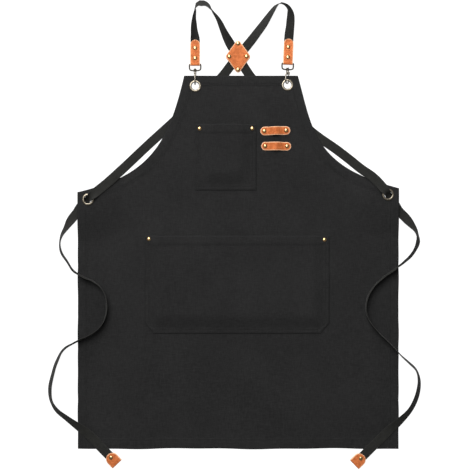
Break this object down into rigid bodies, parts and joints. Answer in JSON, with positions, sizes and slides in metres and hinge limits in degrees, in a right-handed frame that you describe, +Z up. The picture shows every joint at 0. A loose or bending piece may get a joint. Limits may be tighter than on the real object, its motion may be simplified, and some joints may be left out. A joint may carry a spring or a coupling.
{
  "type": "work apron",
  "caption": "Cross-back canvas work apron lying flat, with patch pockets, leather tool loops and webbing straps on swivel hooks.",
  "frame": {"origin": "on the table under the middle of the canvas panel's length and width", "axes": "+X right and +Y towards the bib as the front is seen, +Z up off the table"},
  "size_m": [0.801, 1.0073, 0.0224],
  "materials": {
    "canvas": "matt woven",
    "webbing": "matt ribbed",
    "leather": "smooth vegetable-tanned",
    "brass": "antique",
    "nickel": "antique nickel"
  },
  "bodies": {
    "apron": {"panel": "canvas", "chest_pocket": "canvas", "hand_pocket": "canvas", "strap_left_shoulder": "webbing", "strap_left_back": "webbing", "strap_left_tie": "webbing", "strap_right_shoulder": "webbing", "strap_right_back": "webbing", "strap_right_tie": "webbing", "tool_loop_upper": "leather", "tool_loop_lower": "leather", "cross_front": "leather", "cross_back": "leather", "strap_tab_left": "leather", "strap_tab_right": "leather", "tie_tip_left": "leather", "tie_tip_right": "leather", "bib_grommet_left": "brass", "bib_grommet_right": "brass", "waist_grommet_left": "brass", "waist_grommet_right": "brass", "chest_rivet_1": "brass", "chest_rivet_2": "brass", "hand_rivet_1": "brass", "hand_rivet_2": "brass", "tool_loop_upper_rivet_1": "brass", "tool_loop_upper_rivet_2": "brass", "tool_loop_lower_rivet_1": "brass", "tool_loop_lower_rivet_2": "brass", "cross_rivet_1": "brass", "cross_rivet_2": "brass", "cross_rivet_3": "brass", "cross_rivet_4": "brass", "tab_rivet_left_1": "brass", "tab_rivet_left_2": "brass", "tab_rivet_right_1": "brass", "tab_rivet_right_2": "brass", "tip_rivet_left": "brass", "tip_rivet_right": "brass", "eye_left": "nickel", "eye_right": "nickel"},
    "hook_left": {"hook_left": "nickel"},
    "gate_left": {"gate_left": "nickel"},
    "hook_right": {"hook_right": "nickel"},
    "gate_right": {"gate_right": "nickel"}
  },
  "joints": [
    {"name": "hook_left_swivel", "type": "hinge", "parent": "apron", "child": "hook_left", "pos_m": [-0.0926, 0.411, 0.0082], "axis": [0, 1, 0], "range_deg": [-35, 35]},
    {"name": "gate_left_open", "type": "hinge", "parent": "hook_left", "child": "gate_left", "pos_m": [-0.0926, 0.4026, 0.003], "axis": [-1, 0, 0], "range_deg": [0, 20], "stiffness_Nm_per_rad": 0.03, "springref_deg": -20.05},
    {"name": "hook_right_swivel", "type": "hinge", "parent": "apron", "child": "hook_right", "pos_m": [0.1059, 0.4132, 0.0082], "axis": [0.0436, 0.999, 0], "range_deg": [-3, 67]},
    {"name": "gate_right_open", "type": "hinge", "parent": "hook_right", "child": "gate_right", "pos_m": [0.10829, 0.40469, 0.00379], "axis": [-0.8472, 0.037, -0.5299], "range_deg": [0, 20], "stiffness_Nm_per_rad": 0.03, "springref_deg": -20.05}
  ]
}
